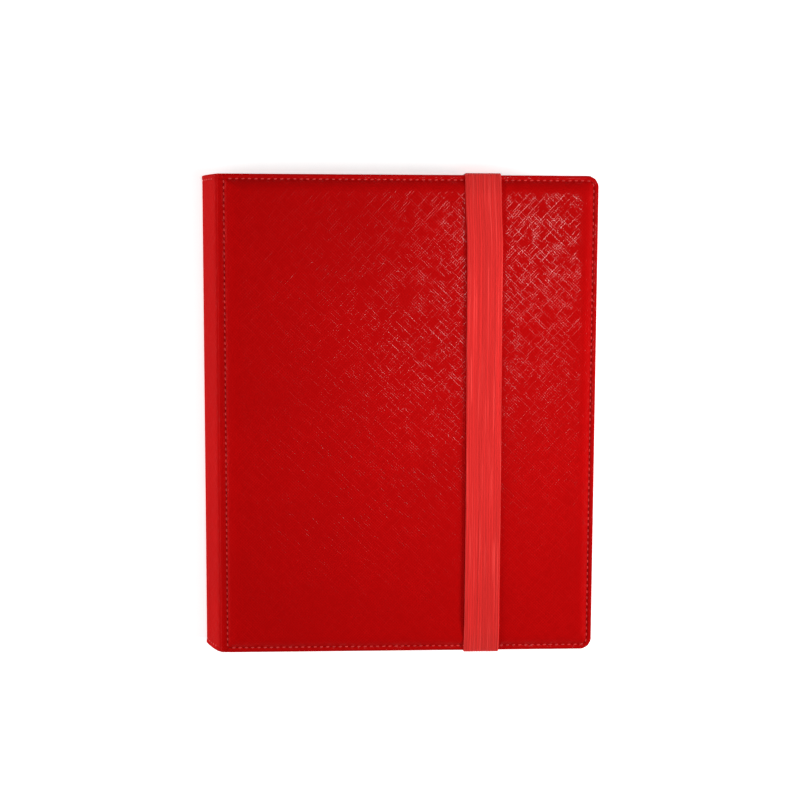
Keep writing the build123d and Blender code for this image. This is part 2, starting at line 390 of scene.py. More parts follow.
def leathercloth():
    """Red coated cloth with an embossed cross-hatch grain whose crests shine."""
    n = material_nodes("red_leathercloth")
    red = (0.520, 0.0022, 0.0026, 1.0)
    ridges = []
    for turn in GRAIN_TURNS:
        lines = n.wave(n.place(turn=turn), GRAIN_SCALE, "Y", Distortion=0.5, Detail=1.0, Detail_Scale=0.9)
        breaks = n.noise(n.place(scale=(0.075, 0.42, 1), turn=turn))
        crests = n.ramp(lines, 0.60, 0.98)
        ridges.append(n.math("MULTIPLY", crests, n.ramp(breaks, 0.40, 0.64, 0.15, 1.0)))
    grain = n.math("MAXIMUM", *ridges)
    fine = n.noise(n.place(), 2.2, 3.0)
    height = n.math("ADD", grain, n.math("MULTIPLY", fine, 0.35))
    tone = n.noise(n.place(), 0.012, 3.0)
    color = n.mix(n.ramp(tone, 0.35, 0.65), shade(red, 0.92), shade(red, 1.06))
    # painted shade: the cloth between the grain's crests is darker
    color = n.mix(n.ramp(grain, 0.0, 0.6), shade(red, 0.84), color)
    return n.finish(
        Base_Color=color,
        Roughness=n.ramp(grain, 0.1, 0.8, 0.52, 0.40),
        Specular_IOR_Level=0.045,
        Specular_Tint=(1.0, 0.45, 0.40, 1.0),
        Coat_Weight=n.ramp(grain, 0.50, 0.95, 0.0, 0.75),
        Coat_Roughness=0.16,
        Coat_IOR=1.5,
        Coat_Normal=n.bump(height, COAT_DEPTH),
        Normal=n.bump(height, GRAIN_DEPTH),
    )


def elastic():
    """Knitted red elastic: lengthwise cords, a fine weft, and darker and brighter streaks."""
    n = material_nodes("red_elastic")
    red = (0.800, 0.026, 0.023, 1.0)
    bright_red = (0.88, 0.055, 0.048, 1.0)
    weft = n.wave(n.place(), WEFT_SCALE, "Y", Distortion=0.6)
    cords = n.wave(n.place(), CORD_SCALE, "X", Distortion=0.4)
    fuzz = n.noise(n.place(scale=(3, 0.6, 1)), 1.4, 3.0)
    height = n.math("ADD", n.math("MULTIPLY", weft, 0.35), cords)
    height = n.math("ADD", height, n.math("MULTIPLY", fuzz, 0.5))
    dark_streak = n.noise(n.place(scale=(0.95, 0.006, 1)))
    bright_streak = n.noise(n.place(scale=(0.9, 0.012, 1)), 1.3, 1.0)
    # painted shade: darker in the valleys between the cords
    color = n.mix(n.ramp(cords, 0.0, 0.45), shade(red, 0.84), red)
    color = n.mix(n.ramp(dark_streak, 0.40, 0.62), shade(red, 0.76), color)
    color = n.mix(n.ramp(bright_streak, 0.60, 0.70), color, bright_red)
    return n.finish(
        Base_Color=color,
        Roughness=0.72,
        Specular_IOR_Level=0.25,
        Sheen_Weight=0.15,
        Sheen_Roughness=0.5,
        Sheen_Tint=(1.0, 0.62, 0.58, 1.0),
        Normal=n.bump(height, 0.10, 0.7),
    )


def thread(name, color):
    """Twisted sewing thread."""
    n = material_nodes(name)
    twist = n.wave(n.spot(), TWIST_SCALE, "DIAGONAL")
    tone = n.noise(n.spot(), 160.0)
    return n.finish(
        Base_Color=n.mix(n.ramp(tone, 0.35, 0.65), shade(color, 0.82), shade(color, 1.12)),
        Roughness=0.5,
        Sheen_Weight=0.2,
        Normal=n.bump(twist, 0.08, 0.6),
    )


def lining_cloth():
    """Black woven lining."""
    n = material_nodes("black_lining")
    weave = n.math("MAXIMUM", *(n.wave(n.place(), LINING_SCALE, direction) for direction in "XY"))
    tone = n.noise(n.place(), 0.02, 3.0)
    color = n.mix(n.ramp(tone, 0.3, 0.7), (0.012, 0.012, 0.013, 1), (0.022, 0.022, 0.024, 1))
    # painted shade: darker between the threads of the weave
    color = n.mix(n.ramp(weave, 0.2, 0.8), (0.006, 0.006, 0.006, 1), color)
    return n.finish(
        Base_Color=color,
        Roughness=0.68,
        Sheen_Weight=0.25,
        Sheen_Roughness=0.4,
        Normal=n.bump(weave, 0.08, 0.6),
    )


def page_plastic():
    """Black page sheet with a fine pebble finish."""
    n = material_nodes("page_sheet")
    pebble = n.noise(n.spot(), 1800.0)
    scuff = n.noise(n.spot(), 30.0, 4.0)
    return n.finish(
        Base_Color=n.mix(n.ramp(scuff, 0.35, 0.7), (0.010, 0.010, 0.011, 1), (0.020, 0.020, 0.022, 1)),
        Roughness=n.ramp(scuff, 0.3, 0.7, 0.38, 0.52),
        Normal=n.bump(pebble, 0.02, 0.5),
    )


def pocket_film():
    """Clear film: cloudier, glossier and a little wavy over the pockets, and clearer along its welds."""
    n = material_nodes("clear_film")
    pillow = n.node("ShaderNodeAttribute", attribute_name="pillow").outputs["Fac"]
    haze = n.noise(n.spot(), 9.0, 3.0)
    ripple = n.noise(n.spot(), 26.0)
    cloudy = n.mix(n.ramp(haze, 0.3, 0.7), (0.15, 0.155, 0.165, 1), (0.23, 0.235, 0.245, 1))
    return n.finish(
        Base_Color=n.mix(pillow, (0.06, 0.06, 0.065, 1), cloudy),
        Roughness=n.ramp(pillow, 0.0, 1.0, 0.40, 0.14),
        Alpha=n.ramp(pillow, 0.0, 1.0, 0.12, 0.50),
        Normal=n.bump(ripple, 0.9, 0.35),
    )


def speckled(name, first, second, scale, roughness, depth):
    """Board, card and foam: two tones of speckle and a little relief."""
    n = material_nodes(name)
    speck = n.noise(n.spot(), scale, 4.0, 0.65)
    return n.finish(
        Base_Color=n.mix(n.ramp(speck, 0.40, 0.62), first, second),
        Roughness=n.ramp(speck, 0.3, 0.7, roughness, roughness + 0.08),
        Normal=n.bump(speck, depth, 0.6),
    )


RED_CLOTH = leathercloth()
RED_ELASTIC = elastic()
RED_THREAD = thread("red_thread", (0.68, 0.036, 0.034, 1))
BLACK_THREAD = thread("black_thread", (0.022, 0.022, 0.022, 1))
BLACK_LINING = lining_cloth()
PAGE_SHEET = page_plastic()
CLEAR_FILM = pocket_film()
GREYBOARD = speckled("greyboard", (0.30, 0.27, 0.23, 1), (0.46, 0.43, 0.38, 1), 700.0, 0.82, 0.05)
BLACK_CARD = speckled("black_card", (0.018, 0.018, 0.019, 1), (0.034, 0.034, 0.035, 1), 900.0, 0.72, 0.03)
FOAM = speckled("foam", (0.62, 0.61, 0.57, 1), (0.84, 0.83, 0.79, 1), 500.0, 0.86, 0.20)
# painted shade: near-black red for the ovals that stand for the shade in the needle holes between stitches
HOLE_SHADE_PAINT = speckled("painted_hole_shade", (0.020, 0.0012, 0.0012, 1), (0.045, 0.002, 0.002, 1), 900.0, 0.7, 0.02)

# -------- the two hinges
BACK_SIDE = {
    "pivot": BACK_PIVOT,
    "cover_dir": np.array((1.0, 0.0)),
    "cover_out": np.array((0.0, -1.0)),
    "spine_dir": SPINE_DIR,
    "cover": "back_cover",
    "front": False,
}
FRONT_SIDE = {
    "pivot": FRONT_PIVOT,
    "cover_dir": np.array((1.0, 0.0)),
    "cover_out": np.array((0.0, 1.0)),
    "spine_dir": -SPINE_DIR,
    "cover": "front_cover",
    "front": True,
}


def section_point(side, across, height, fraction=None):
    """x and z of a point: across > 0 is on the cover, < 0 on the spine; fraction is round the crease."""
    pivot = side["pivot"]
    if fraction is not None:
        start = math.atan2(side["cover_out"][1], side["cover_out"][0])
        end = math.atan2(SPINE_OUT[1], SPINE_OUT[0])
        turn = (end - start + math.pi) % (2 * math.pi) - math.pi
        angle = start + turn * fraction
        return pivot[0] + height * math.cos(angle), pivot[1] + height * math.sin(angle)
    if across >= 0:
        direction, out = side["cover_dir"], side["cover_out"]
    else:
        direction, out = side["spine_dir"], SPINE_OUT
    return tuple(pivot + abs(across) * direction + height * out)


def blend_over_crease(piece, side):
    """Bakes the piece's placement into its points; the direction along the crease that it works out is not
    used.
    """
    middle = side["cover_out"] + SPINE_OUT
    tangent = np.array((-middle[1], middle[0]))
    tangent = tangent / np.linalg.norm(tangent)
    if tangent @ side["cover_dir"] < 0:
        tangent = -tangent
    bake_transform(piece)


# -------- skins
# mesh rings of an edge: insets from the corner's centre outward, then round the roll, then back under it
TOP_INSETS = (8.0, 7.2, 6.5, 5.9, 5.4, 5.0, 4.6, 4.3, 4.0, 3.75, 3.5, 3.25, 3.0, 2.7, 2.3, 1.9, 1.5, 1.15)
ROLL_ANGLES = tuple(math.radians(a) for a in range(0, 181, 20))
UNDER_INSETS = (1.6, 3.0, 5.0)
ROLL_INSET = 1.0
RING_COUNT = len(TOP_INSETS) + len(ROLL_ANGLES) + len(UNDER_INSETS)
RING_STEP = 0.4  # stands in for an inset's step where rings are compared over the roll
CREASE_LINES = 5  # mesh lines round the crease, between cover and spine
FINE = 0.8  # distance of the mesh lines near the edges and on the flat
COARSE = 1.467


def ring_reach(k):
    """How far out a ring lies, for sharing out the rings of a corner."""
    return CORNER_R - TOP_INSETS[k] if k < len(TOP_INSETS) else CORNER_R + RING_STEP * k


def across_lines():
    """Mesh lines from the middle of the spine, over the crease and cover, to under the fore edge."""
    spine = np.concatenate([spread(-SPINE_W / 2, -3.4, 1.4), spread(-3.0, -0.2, 0.4)])
    cover = np.concatenate([
        spread(0.2, 0.8, 0.3), spread(1.1, 7.0, 0.3), spread(7.6, 20, FINE),
        spread(21.4, COVER_W - 16, COARSE), spread(COVER_W - 15, COVER_W - 8.8, FINE),
    ])
    lines = [("flat", a, 0.0) for a in spine]
    lines += [("crease", 0.0, 1 - (k + 1) / (CREASE_LINES + 1)) for k in range(CREASE_LINES)]
    lines += [("flat", a, 0.0) for a in cover]
    lines += [("ring", COVER_W - CORNER_R, k) for k in range(RING_COUNT)]
    return lines


def along_lines():
    """Mesh lines from under the tail edge to under the head edge."""
    near = HALF_H - CORNER_R
    inner = np.concatenate([
        spread(-(HALF_H - 8.8), -(HALF_H - 15), FINE),
        spread(-(HALF_H - 16.4), HALF_H - 16.4, COARSE),
        spread(HALF_H - 15, HALF_H - 8.8, FINE),
    ])
    lines = [("ring", -near, k) for k in reversed(range(RING_COUNT))]
    lines += [("flat", y, 0) for y in inner]
    lines += [("ring", near, k) for k in range(RING_COUNT)]
    return lines


def ring_grid(rows, columns):
    """For each crossing of mesh lines: its ring (-1 on the flat) and the direction out to the edge."""
    shape = (len(rows), len(columns))
    ring, out_x, out_y = np.full(shape, -1), np.zeros(shape), np.zeros(shape)
    for i, (row_kind, _, row_ring) in enumerate(rows):
        for j, (column_kind, y, column_ring) in enumerate(columns):
            sign = math.copysign(1, y)
            if row_kind == "ring" and column_kind == "ring":
                angle = corner_angle(ring_reach(row_ring), ring_reach(column_ring))
                ring[i, j] = max(row_ring, column_ring)
                out_x[i, j], out_y[i, j] = math.cos(angle), math.sin(angle) * sign
            elif row_kind == "ring":
                ring[i, j], out_x[i, j] = row_ring, 1.0
            elif column_kind == "ring":
                ring[i, j], out_y[i, j] = column_ring, sign
    return ring, out_x, out_y


def per_ring(top, roll, under, flat):
    """A value for every ring, and as the last one that of the flat, to be picked by ring number."""
    return np.array((*top, *roll, *under, flat))


def skin_grid(side):
    """The skin's points: place across and along, height over the hinge plane, and place round the crease."""
    rows, columns = across_lines(), along_lines()
    ring, out_x, out_y = ring_grid(rows, columns)
    every = np.ones(ring.shape)
    across = np.array([a for _, a, _ in rows])[:, None] * every
    along = np.array([y for _, y, _ in columns])[None, :] * every
    on_crease = np.array([kind == "crease" for kind, _, _ in rows])[:, None] & (every > 0)
    fraction = np.array([extra if kind == "crease" else 0.0 for kind, _, extra in rows])[:, None] * every
    on_top, on_roll, on_under = len(TOP_INSETS), len(ROLL_ANGLES), len(UNDER_INSETS)

    # the outer surface, with all rings of the roll and under it at the roll's top
    inset = per_ring(TOP_INSETS, (ROLL_INSET,) * on_roll, (ROLL_INSET,) * on_under, CORNER_R)[ring]
    seen_x = across + (CORNER_R - inset) * out_x
    seen_y = along + (CORNER_R - inset) * out_y
    free = np.minimum(COVER_W - across, HALF_H - np.abs(along))
    height = top_height(seen_x, seen_y, np.where(ring < 0, free, inset), side["front"]) - PIVOT_DEPTH
    height = np.where(seen_x < 0, spine_height(-seen_x, seen_y), height)
    height = np.where(on_crease, CREASE, height)

    # the roll, from that surface round to the hem's underside
    settle = np.where(on_crease, 0.0, step(np.abs(across), 0, 2.5))
    bottom = -0.10 - (PIVOT_DEPTH - UNDER - 0.10) * settle
    radius = (height - bottom) / 2
    angles = per_ring((0.0,) * on_top, ROLL_ANGLES, (math.pi,) * on_under, 0.0)[ring]
    under_inset = per_ring((0.0,) * on_top, (0.0,) * on_roll, UNDER_INSETS, 0.0)[ring]
    rolled = ring >= on_top
    under = ring >= on_top + on_roll
    inset = np.where(rolled, np.minimum(radius, ROLL_INSET) * (1 - np.sin(angles)), inset)
    inset = np.where(under, under_inset, inset)
    height = np.where(rolled, bottom + radius * (1 + np.cos(angles)), height)
    across = across + (CORNER_R - inset) * out_x
    along = along + (CORNER_R - inset) * out_y
    return across, along, height, on_crease, fraction


def make_skin(name, side, node):
    """The skin of one cover with its half of the spine: one sheet, hems rolled over and under."""
    grid = skin_grid(side)
    points, surface = [], []
    for a, y, h, folded, share in zip(*(values.ravel() for values in grid)):
        x, z = section_point(side, a, h, share if folded else None)
        points.append((x, y, z))
        surface.append((a if side["front"] else -SPINE_W - a, y, 0))
    faces = grid_faces(*grid[0].shape, flip=not side["front"])
    piece = make_mesh(name, points, faces, RED_CLOTH, surface)
    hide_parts(node)
    blend_over_crease(piece, side)
    return piece


# -------- linings
LINING_PROUD = 0.12  # the lining stands this far inside its CAD face
LINING_EDGE = 1.9  # its border, from the covers' edges
LINING_CREASE = 0.15  # its depth below the hinge axis, at the crease
LINING_DENT = 0.16  # how far the seam pulls it in
LINING_BORDERS = (0.0, 0.25, 0.6, 3.2, 3.5, 3.8)  # mesh lines along its edges and the seam
LINING_SPINE_LINES = (3.0, 2.4, 1.9, 1.5, 1.1, 0.8, 0.5, 0.25)
LINING_COVER_LINES = (0.25, 0.5, 0.8, 1.1, 1.5, 1.9, 2.4, 3.0, 3.6, 4.0, 4.4, 6.0)
LINING_PITCH = 8.0  # distance of its mesh lines on the flat


def lining_lines():
    """Mesh lines across the lining, each with its place round the crease, and along it."""
    width, half = COVER_W - LINING_EDGE, HALF_H - LINING_EDGE
    across = [(a, None) for a in spread(-SPINE_W / 2, -3.5, 3.0)]
    across += [(-a, None) for a in LINING_SPINE_LINES]
    across += [(0.0, 1 - (k + 1) / 4) for k in range(3)]
    across += [(a, None) for a in LINING_COVER_LINES]
    across += [(a, None) for a in spread(10, COVER_W - 12, LINING_PITCH)]
    across += [(width - b, None) for b in reversed(LINING_BORDERS)]
    along = [b - half for b in LINING_BORDERS] + list(spread(8 - half, half - 8, LINING_PITCH))
    along += [half - b for b in reversed(LINING_BORDERS)]
    return across, along


def lining_place(across, along):
    """A place on the lining with its corners rounded, and its distance from the lining's border."""
    width, half = COVER_W - LINING_EDGE, HALF_H - LINING_EDGE
    corner = CORNER_R - LINING_EDGE
    reach_x = across - (width - corner)
    reach_y = abs(along) - (half - corner)
    if reach_x <= 0 or reach_y <= 0:
        return across, along, min(width - across, half - abs(along))
    reach = max(reach_x, reach_y)
    angle = corner_angle(reach_x, reach_y)
    rounded_y = half - corner + reach * math.sin(angle)
    return width - corner + reach * math.cos(angle), math.copysign(rounded_y, along), corner - reach


def lining_depth(across, border):
    """How far the lining lies inside the hinge plane."""
    depth = LINING_CREASE + (PIVOT_DEPTH + LINING_PROUD - LINING_CREASE) * step(abs(across), 0, 2.2)
    depth -= LINING_DENT * bell(border, SEAM - LINING_EDGE, 0.35) * step(abs(across), 0, 3)
    return depth - (LINING_PROUD + UNDER) * (1 - step(border, 0, 0.25)) * step(abs(across), 0, 2)


def make_lining(name, side, nodes):
    """The inner face of one cover with its half of the spine."""
    across, along = lining_lines()
    points, surface = [], []
    for a, fraction in across:
        for y in along:
            place_a, place_y, border = lining_place(a, y)
            x, z = section_point(side, place_a, -lining_depth(a, border), fraction)
            points.append((x, place_y, z))
            surface.append((place_a, place_y, 0))
    faces = grid_faces(len(across), len(along), flip=side["front"])
    piece = make_mesh(name, points, faces, BLACK_LINING, surface)
    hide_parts(*nodes)
    blend_over_crease(piece, side)


# -------- stitches
STITCH_LENGTH = 2.5
STITCH_WIDTH = 0.95
STITCH_FLATNESS = 0.62  # a stitch's height over its width
STITCH_LIFT = 0.34  # its middle stands this much higher than its ends,
STITCH_SINK = 0.16  # which lie this deep in the cloth
STITCH_TIP = 0.12  # share of its width at its ends
# size and lift of each oval of painted needle-hole shade
HOLE_SHADE_LENGTH, HOLE_SHADE_WIDTH = 1.15, 0.62
HOLE_SHADE_LIFT = 0.02
SEAM_START = 6.2  # the edge seam begins this far from the crease
STITCH_SLANT = math.radians(9)
HINGE_SLANT = math.radians(16)


def stitch_shape():
    """One stitch about the origin: along x, standing up z, its two ends dipping under."""
    stations, around = 9, 8
    points = []
    for t in np.linspace(-1, 1, stations):
        radius = STITCH_WIDTH / 2 * max((1 - abs(t) ** 3) ** 0.5, STITCH_TIP)
        lift = STITCH_LIFT * (1 - abs(t) ** 2.5) - STITCH_SINK
        for k in range(around):
            angle = 2 * math.pi * k / around
            up = lift + math.sin(angle) * radius * STITCH_FLATNESS
            points.append((t * STITCH_LENGTH / 2, math.cos(angle) * radius, up))
    return np.array(points), tube_faces(stations, around)


def hole_shade_shape():
    """A small dark oval of painted shade that stands for a needle hole, flat on the cloth and a little domed.
    """
    around = 10
    points = [(0, 0, 3 * HOLE_SHADE_LIFT)]
    for k in range(around):
        angle = 2 * math.pi * k / around
        points.append((HOLE_SHADE_LENGTH * math.cos(angle), HOLE_SHADE_WIDTH * math.sin(angle), HOLE_SHADE_LIFT))
    return np.array(points), [(0, 1 + k, 1 + (k + 1) % around) for k in range(around)]


def lay_out(shape, places):
    """Copies of a shape at places: (point, direction along it, normal), all in the row frame, mm."""
    base, base_faces = shape
    points, faces = [], []
    for point, along, normal in places:
        along = along / np.linalg.norm(along)
        normal = normal - along * (normal @ along)
        normal = normal / np.linalg.norm(normal)
        across = np.cross(normal, along)
        start = len(points)
        placed = point + base[:, :1] * along + base[:, 1:2] * across + base[:, 2:] * normal
        points.extend(placed.tolist())
        faces.extend(tuple(start + i for i in face) for face in base_faces)
    return points, faces


def edge_place(s, run_x, arc, run_y):
    """Where the edge seam is after a length s: across, along and heading."""
    corner = CORNER_R - SEAM
    center_x, center_y = COVER_W - CORNER_R, HALF_H - CORNER_R
    if s < run_x:
        return SEAM_START + s, HALF_H - SEAM, 0.0
    if s < run_x + arc:
        turn = (s - run_x) / corner
        return center_x + corner * math.sin(turn), center_y + corner * math.cos(turn), -turn
    if s < run_x + arc + run_y:
        return COVER_W - SEAM, center_y - (s - run_x - arc), -math.pi / 2
    if s < run_x + 2 * arc + run_y:
        turn = (s - run_x - arc - run_y) / corner
        return center_x + corner * math.cos(turn), -center_y - corner * math.sin(turn), -math.pi / 2 - turn
    return center_x - (s - run_x - 2 * arc - run_y), SEAM - HALF_H, -math.pi


def edge_route():
    """The edge seam from the crease round the fore edge and back: (across, along, heading, is a stitch)."""
    run_x = COVER_W - CORNER_R - SEAM_START
    arc = (CORNER_R - SEAM) * math.pi / 2
    run_y = 2 * (HALF_H - CORNER_R)
    total = 2 * run_x + 2 * arc + run_y
    count = int(round(total / STITCH_PITCH))
    return [
        (*edge_place((k + half) * total / count, run_x, arc, run_y), half == 0.5)
        for k in range(count)
        for half in (0.5, 1.0)
    ]


def hinge_route():
    """The seam beside the crease, head to tail, in the same form."""
    near = HALF_H - SEAM
    count = int(round(2 * near / HINGE_PITCH))
    return [
        (HINGE_SEAM, near - (k + half) * 2 * near / count, -math.pi / 2, half == 0.5)
        for k in range(count)
        for half in (0.5, 1.0)
    ]


def seam_places(side, route, slant, inner=False):
    """Where stitches (and the ovals of painted shade for the needle holes between them) lie on the outer or
    the inner face.
    """
    stitches, hole_shades = [], []
    for across, along, heading, is_stitch in route:
        inset = min(COVER_W - across, HALF_H - abs(along))
        if across > COVER_W - CORNER_R and abs(along) > HALF_H - CORNER_R:
            inset = SEAM
        height = -(PIVOT_DEPTH + LINING_PROUD - 0.14)
        if not inner:
            place = (np.array(across), np.array(along), np.array(inset))
            height = float(top_height(*place, side["front"])) - PIVOT_DEPTH
        x, z = section_point(side, across, height)
        out = side["cover_out"] * (-1 if inner else 1)
        turned = heading + slant * (1 if side["front"] != inner else -1)
        (stitches if is_stitch else hole_shades).append((
            np.array((x, along, z)),
            np.array((math.cos(turned), math.sin(turned), 0.0)),
            np.array((out[0], 0.0, out[1])),
        ))
    return stitches, hole_shades


def make_seams(prefix, side):
    """Thread on the outer and inner faces, and ovals of painted shade for the needle holes on the outer face.
    """
    outer, hole_shades = seam_places(side, edge_route(), STITCH_SLANT)
    hinge, hinge_hole_shades = seam_places(side, hinge_route(), HINGE_SLANT)
    inner, _ = seam_places(side, edge_route(), STITCH_SLANT, inner=True)
    inner_hinge, _ = seam_places(side, hinge_route(), HINGE_SLANT, inner=True)
    points, faces = lay_out(stitch_shape(), outer + hinge + inner + inner_hinge)
    stitches = make_mesh(f"{prefix}_stitches", points, faces, RED_THREAD)
    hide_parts(f"{prefix}_seam_thread")
    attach(stitches, side["cover"])
    # ovals of painted shade for the needle holes between the outer stitches
    points, faces = lay_out(hole_shade_shape(), hole_shades + hinge_hole_shades)
    painted_hole_shades = make_mesh(f"{prefix}_painted_hole_shades", points, faces, HOLE_SHADE_PAINT)
    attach(painted_hole_shades, side["cover"])


def make_spine_stitches():
    """The short rows over the spine's head and tail hems, outside and inside."""
    places = []
    count = int((SPINE_W - 7) / STITCH_PITCH)
    heading = np.array((SPINE_DIR[0], 0.1, SPINE_DIR[1]))
    for end in (1, -1):
        for k in range(count):
            s = SPINE_W / 2 + (k - (count - 1) / 2) * STITCH_PITCH
            along = end * (HALF_H - SEAM)
            height = float(spine_height(np.array(min(s, SPINE_W - s)), np.array(along)))
            for out, lift in ((1, height), (-1, PIVOT_DEPTH + LINING_PROUD)):
                spot = BACK_PIVOT + SPINE_DIR * s + SPINE_OUT * lift * out
                normal = np.array((SPINE_OUT[0], 0.0, SPINE_OUT[1])) * out
                places.append((np.array((spot[0], along, spot[1])), heading, normal))
    points, faces = lay_out(stitch_shape(), places)
    stitches = make_mesh("spine_stitches", points, faces, RED_THREAD)
    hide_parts("spine_seam_thread")
    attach(stitches, "spine")


# -------- elastic strap
RIBS = 14
RIB_DEPTH = 0.085
RIB_SEED = 5
RIB_MESH = 177  # points over the strap's width
EDGE_POWER = 26  # how square the strap's edges are
STRAP_GAP = 0.06  # cloth to the strap's under side
LEG_GAP = 0.05  # CAD strap's box to the legs at head and tail
BEND_R = 2.2  # the strap's bend over the hem
BEND_ANGLE = math.radians(74)
BEND_STEPS = 6
SHOULDER = 12.5  # it touches the padding from this far inside the cover's edge
SHOULDER_STEPS = 9
SHOULDER_RISE = 0.25  # it stands this much above a straight line on the way there
CURL = 1.30  # its edge on the spine side stands this far off the cover
NARROWING = 0.012  # tension narrows it by this share at mid-height


def strap_section():
    """Closed cross-section: (x, height) points, ribbed above, with rounded edges and one edge curled up."""
    half = STRAP_W / 2 - 0.1

    def crown(x):
        return STRAP_T / 2 * np.clip(1 - (np.abs(x) / half) ** EDGE_POWER, 0, 1) ** 0.5

    above = np.linspace(-half, half, RIB_MESH)
    below = above[::-1][1:-1:8]
    turns = (above / STRAP_W + 0.5) * RIBS
    strengths = np.random.default_rng(RIB_SEED).uniform(0.25, 1.0, RIBS + 2)
    rib = np.clip(turns.astype(int), 0, RIBS + 1)
    ribs = RIB_DEPTH * strengths[rib] * (1 - np.cos(2 * math.pi * turns))
    fade = np.clip((half - np.abs(above)) / 0.8, 0, 1)
    x = np.concatenate([above, below])
    height = np.concatenate([crown(above) + ribs * fade, -crown(below)])
    curl = CURL * step(-x, 4.0, 8.5)
    return x, height, curl


def strap_path():
    """Middle line of the strap in the YZ plane, from the tail anchor over the front to the head anchor."""
    leg = STRAP_HIGH[1] - STRAP_T / 2 - LEG_GAP
    anchor = (TAIL_LOW[2] + TAIL_HIGH[2]) / 2
    lift = STRAP_T / 2 + STRAP_GAP

    def over_cover(y):
        place = (np.array(STRAP_ACROSS), np.array(y), np.array(HALF_H - abs(y)))
        return y, LINING_Z + float(top_height(*place, True)) + lift

    bend_z = LINING_Z + HEM + lift - BEND_R
    half = [(leg, z) for z in spread(anchor, bend_z, 1.6)]
    for k in range(1, BEND_STEPS + 1):
        turn = BEND_ANGLE * k / BEND_STEPS
        half.append((leg - BEND_R + BEND_R * math.cos(turn), bend_z + BEND_R * math.sin(turn)))
    start, goal = np.array(half[-1]), np.array(over_cover(HALF_H - SHOULDER))
    for k in range(1, SHOULDER_STEPS):
        t = k / SHOULDER_STEPS
        y, z = start + (goal - start) * t
        half.append((y, z + SHOULDER_RISE * math.sin(math.pi * t)))
    half += [over_cover(y) for y in spread(HALF_H - SHOULDER, 0, 1.5)]
    tail = [(-y, z) for y, z in half[:-1]]
    return np.array(tail + half[::-1])


def make_strap():
    """The elastic loop, a little drawn in at mid-height and off its straight line towards the head."""
    path = strap_path()
    across, height, curl = strap_section()
    tangent = np.gradient(path, axis=0)
    tangent = tangent / np.linalg.norm(tangent, axis=1)[:, None]
    normal = np.stack([-tangent[:, 1], tangent[:, 0]], 1)
    length = np.concatenate([[0], np.cumsum(np.linalg.norm(np.diff(path, axis=0), axis=1))])
    points, surface = [], []
    for (y, z), (ny, nz), run in zip(path, normal, length):
        on_face = 1 - step(abs(y), HALF_H - 26, 20)
        drift = 0.35 * bell(y, -60, 90) - 1.4 * step(y, 115, 45)
        narrow = 1 - NARROWING * math.sin(run / length[-1] * math.pi)
        for x, h in zip(across, height + curl * on_face):
            points.append((STRAP_X + drift + x * narrow, y + ny * h, z + nz * h))
            surface.append((x, run, 0))
    faces = tube_faces(len(path), len(across), flip=True)
    piece = make_mesh("elastic_band", points, faces, RED_ELASTIC, surface)
    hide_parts("elastic_strap")
    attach(piece, "strap")
    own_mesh(piece)


# -------- pages
LEAF_T = 0.30  # a little thicker than the tab that it hides
ROOT_BACK = 1.2  # the leaf starts this far down its tab
PAGE_CORNER_R = 4.0
PAGE_EDGE_LINES = (0, 1, 2, 3, 4, 12)  # mesh lines inside the page's edges
POCKETS = 3  # rows and columns of card pockets
WELD = 1.6  # half the width of a weld between pockets
WELD_SLOPE = 0.7  # the film rises over this width beside a weld,
OPEN_SLOPE = 0.25  # and over this one at a pocket's open side
FILM_GAP = 0.03  # page to film on a weld
POCKET_LIFT = 0.19  # how much higher the film is over a pocket


def page_place(across, along, high):
    """A place on the page with its two outer corners rounded."""
    center_x, center_y = high[0] - PAGE_CORNER_R, high[1] - PAGE_CORNER_R
    reach_x, reach_y = across - center_x, abs(along) - center_y
    if reach_x <= 0 or reach_y <= 0:
        return across, along
    reach = max(reach_x, reach_y)
    angle = corner_angle(reach_x, reach_y)
    return center_x + reach * math.cos(angle), math.copysign(center_y + reach * math.sin(angle), along)


def rim_points(rows, columns):
    """Numbers of a grid's outermost points, once round."""
    rim = [i * columns for i in range(rows)]
    rim += [(rows - 1) * columns + j for j in range(1, columns)]
    rim += [i * columns + columns - 1 for i in reversed(range(rows - 1))]
    return rim + list(reversed(range(1, columns - 1)))


def make_page(body):
    """One page sheet from its tab outward: two faces and a rim, bending at its root."""
    low, high = node_box(body)
    flex = joint_place(f"{body}_turn")
    middle = (low[2] + high[2]) / 2
    reaches = list(np.linspace(-ROOT_BACK, 9, 22)) + [22, 60, 120, 180]
    reaches += [high[0] - flex[0] - b for b in reversed(PAGE_EDGE_LINES)]
    ys = [low[1] + b for b in PAGE_EDGE_LINES] + list(spread(-110, 110, 36))
    ys += [high[1] - b for b in reversed(PAGE_EDGE_LINES)]
    points = []
    for side in (LEAF_T / 2, -LEAF_T / 2):
        for reach in reaches:
            for y in ys:
                if reach <= 0:
                    x, z = flex - SPINE_OUT * reach + SPINE_DIR * side
                    points.append((x, y, z))
                else:
                    points.append((*page_place(flex[0] + reach, y, high), middle + side))
    rows, columns = len(reaches), len(ys)
    count = rows * columns
    faces = grid_faces(rows, columns) + grid_faces(rows, columns, flip=True, start=count)
    rim = rim_points(rows, columns)
    faces += [(a, b, b + count, a + count) for a, b in zip(rim, rim[1:] + rim[:1])]
    piece = make_mesh(f"{body}_sheet", points, faces, PAGE_SHEET)
    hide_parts(body)
    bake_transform(piece)


def pocket_lines(low, high):
    """Mesh lines over three pockets and their welds."""
    size = (high - low) / POCKETS
    beside = (0, WELD * 0.8, WELD, WELD + WELD_SLOPE, WELD + 3)
    lines = []
    for k in range(POCKETS):
        start = low + k * size
        lines += [start + b for b in beside]
        lines += list(np.linspace(start + 12, start + size - 12, 4))
        lines += [start + size - b for b in reversed(beside[1:])]
    return lines + [high]


